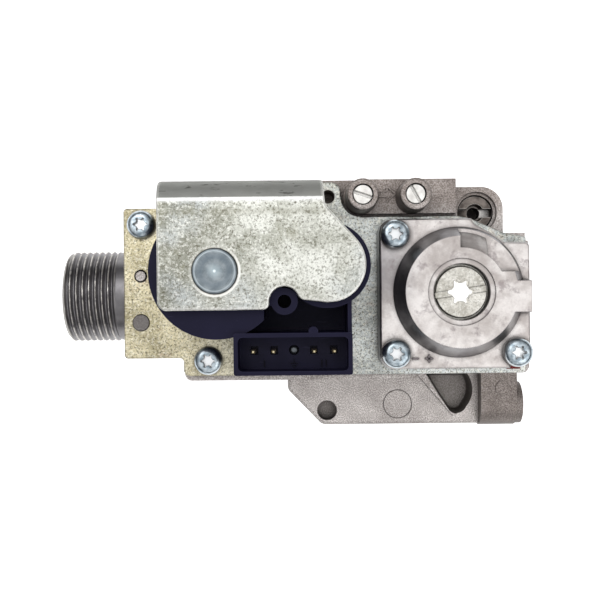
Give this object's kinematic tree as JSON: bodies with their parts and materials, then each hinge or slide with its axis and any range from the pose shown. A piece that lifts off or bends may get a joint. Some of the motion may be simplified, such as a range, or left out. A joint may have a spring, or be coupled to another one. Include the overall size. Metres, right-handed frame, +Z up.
{
  "type": "gas valve",
  "caption": "Gas control valve: cast body with threaded inlet, solenoid coils under a steel yoke, slotted test points and an adjustable pressure regulator.",
  "frame": {"origin": "outlet port axis on the flat cast base, under the pressure regulator", "axes": "+X along the body from the threaded inlet to the regulator end, +Y towards the side of the test points, +Z up from the base towards the coils"},
  "size_m": [0.1333, 0.0714, 0.0699],
  "materials": {
    "cast_aluminium": "as cast, fine grain",
    "bright_die_cast": "bright die casting",
    "turned_steel": "turned",
    "core_steel": "turned and zinc plated",
    "zinc_plated_steel": "zinc plated and passivated",
    "bright_zinc": "bright blue zinc",
    "nickel_plated": "nickel plated",
    "stainless_mesh": "plain",
    "spring_steel": "plain",
    "copper_wire": "enamelled",
    "brass": "bright",
    "dark_blue_plastic": "satin moulding",
    "white_plastic": "plain",
    "black_rubber": "matt",
    "red_rubber": "matt"
  },
  "bodies": {
    "casing": {"armature_tube_1": "brass", "armature_tube_2": "brass", "blanking_plug": "cast_aluminium", "coil_moulding": "dark_blue_plastic", "coil_winding_1": "copper_wire", "coil_winding_2": "copper_wire", "coil_yoke": "zinc_plated_steel", "core_1": "core_steel", "core_2": "core_steel", "cover_gasket": "black_rubber", "cover_plate": "zinc_plated_steel", "cover_screws": "bright_zinc", "earth_contact": "core_steel", "housing_screws": "bright_zinc", "inlet_spigot": "turned_steel", "inlet_strainer": "stainless_mesh", "outlet_o_ring": "black_rubber", "plunger_spring_1": "spring_steel", "plunger_spring_2": "spring_steel", "regulator_diaphragm": "red_rubber", "regulator_housing": "bright_die_cast", "regulator_spring": "spring_steel", "terminal_pins": "brass", "valve_body": "cast_aluminium"},
    "armature_1": {"plunger_1": "turned_steel", "valve_disc_1": "black_rubber"},
    "armature_2": {"plunger_2": "turned_steel", "valve_disc_2": "black_rubber"},
    "governor": {"diaphragm_plate": "core_steel", "governor_stem": "turned_steel", "throttle_disc": "bright_die_cast"},
    "adjuster_seat": {"spring_seat": "white_plastic"},
    "adjuster": {"adjusting_screw": "zinc_plated_steel"},
    "test_cone_in": {"test_seal_in": "black_rubber"},
    "test_plug_in": {"test_screw_in": "nickel_plated"},
    "test_cone_out": {"test_seal_out": "black_rubber"},
    "test_plug_out": {"test_screw_out": "nickel_plated"}
  },
  "joints": [
    {"name": "armature_1_lift", "type": "slide", "parent": "casing", "child": "armature_1", "axis": [0, 0, 1], "range_m": [0, 0.002], "stiffness_N_per_m": 300, "springref_m": -0.006, "deforming": ["plunger_spring_1"]},
    {"name": "armature_2_lift", "type": "slide", "parent": "casing", "child": "armature_2", "axis": [0, 0, 1], "range_m": [0, 0.0015], "stiffness_N_per_m": 200, "springref_m": -0.006, "deforming": ["plunger_spring_2"]},
    {"name": "governor_lift", "type": "slide", "parent": "casing", "child": "governor", "axis": [0, 0, 1], "range_m": [0, 0.0019], "stiffness_N_per_m": 800, "springref_m": -0.003, "deforming": ["regulator_diaphragm"]},
    {"name": "adjuster_travel", "type": "slide", "parent": "casing", "child": "adjuster_seat", "axis": [0, 0, 1], "range_m": [-0.002, 0.001], "deforming": ["regulator_spring"]},
    {"name": "adjuster_turn", "type": "hinge", "parent": "adjuster_seat", "child": "adjuster", "pos_m": [0, 0, 0.047], "axis": [0, 0, 1], "range_deg": [-720, 360]},
    {"name": "test_in_travel", "type": "slide", "parent": "casing", "child": "test_cone_in", "axis": [0, 0, 1], "range_m": [0, 0.0014]},
    {"name": "test_in_turn", "type": "hinge", "parent": "test_cone_in", "child": "test_plug_in", "pos_m": [-0.0253, 0.0265, 0.042], "axis": [0, 0, 1], "range_deg": [0, 720]},
    {"name": "test_out_travel", "type": "slide", "parent": "casing", "child": "test_cone_out", "axis": [0, 0, 1], "range_m": [0, 0.0014]},
    {"name": "test_out_turn", "type": "hinge", "parent": "test_cone_out", "child": "test_plug_out", "pos_m": [-0.0111, 0.0265, 0.042], "axis": [0, 0, 1], "range_deg": [0, 720]}
  ],
  "couplings": [
    {"joint": "adjuster_turn", "follows": "adjuster_travel", "rad_per_m": 6283.2},
    {"joint": "test_in_turn", "follows": "test_in_travel", "rad_per_m": 8976},
    {"joint": "test_out_turn", "follows": "test_out_travel", "rad_per_m": 8976}
  ]
}
